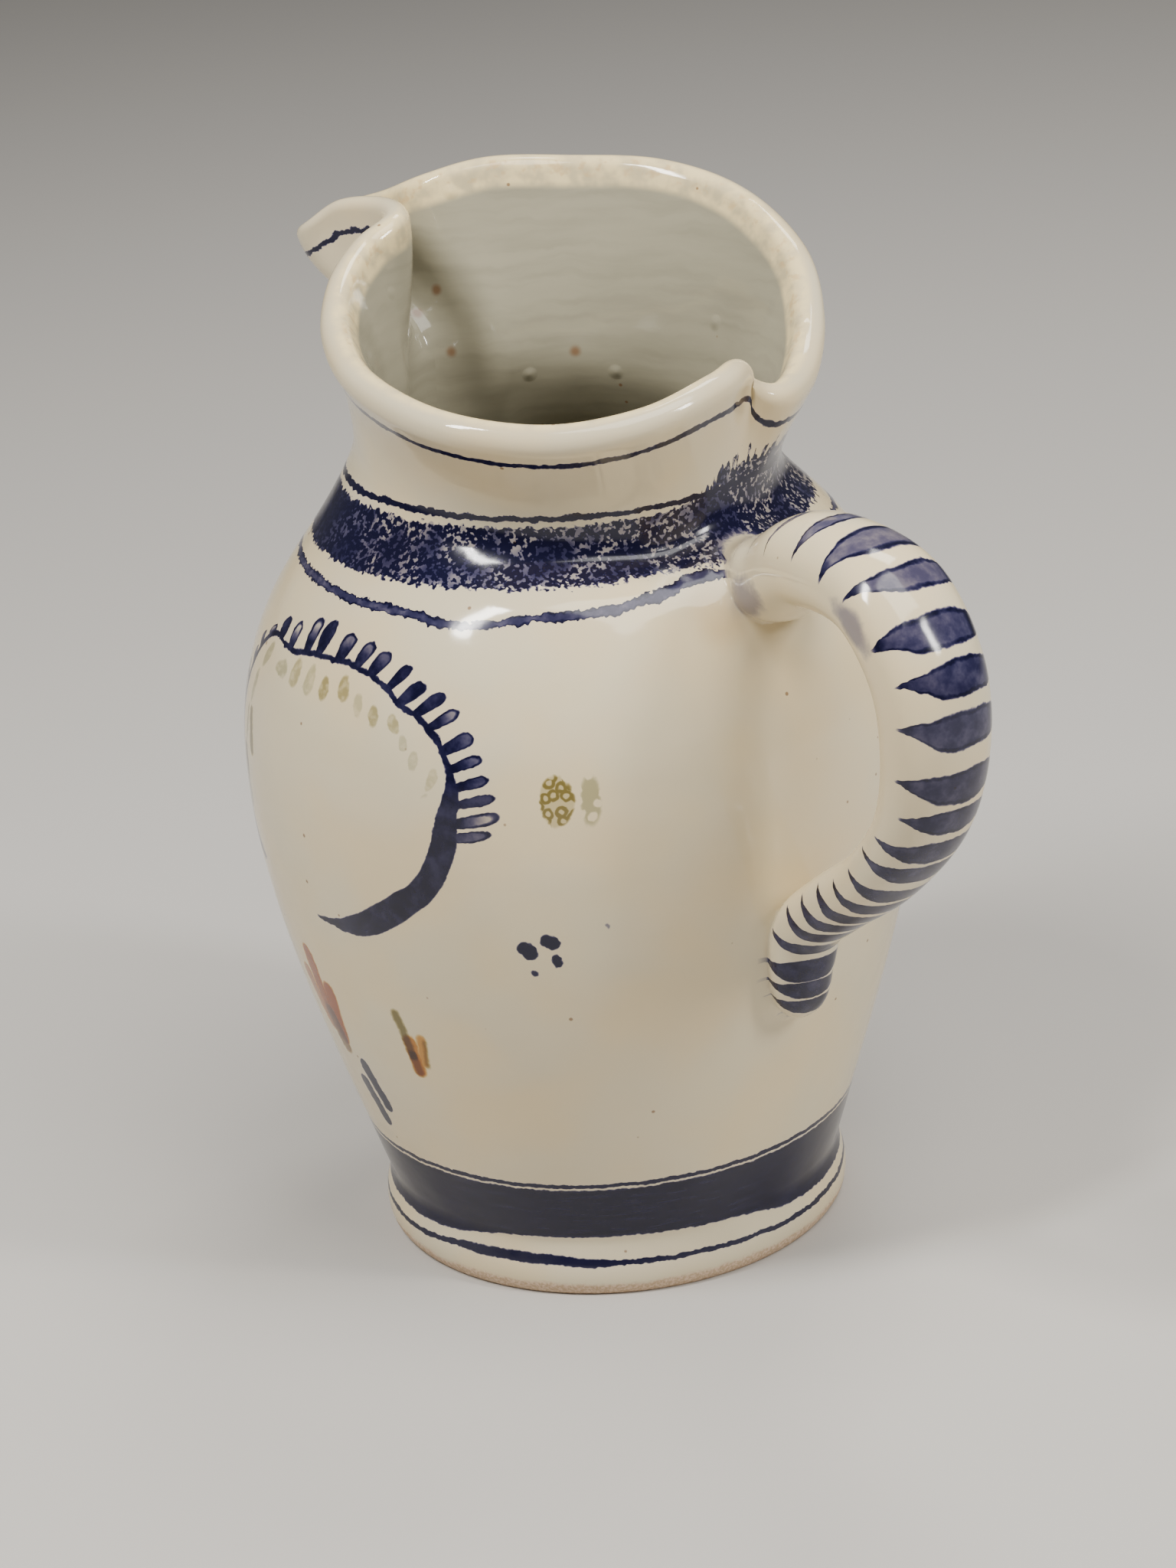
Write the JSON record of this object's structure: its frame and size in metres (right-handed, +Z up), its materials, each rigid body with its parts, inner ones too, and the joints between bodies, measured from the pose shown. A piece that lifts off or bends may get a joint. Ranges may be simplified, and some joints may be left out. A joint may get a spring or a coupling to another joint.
{
  "type": "milk jug",
  "caption": "Small hollow milk jug of painted, tin-glazed earthenware with a pinched spout and a strap handle.",
  "frame": {"origin": "middle of the flat underside, on the surface that the jug stands on", "axes": "+Z up, +X from the jug's axis towards the handle, so the spout points along -X"},
  "size_m": [0.1499, 0.1053, 0.163],
  "materials": {
    "glazed_earthenware": "gloss"
  },
  "bodies": {
    "root": {"jug": "glazed_earthenware"}
  },
  "joints": []
}
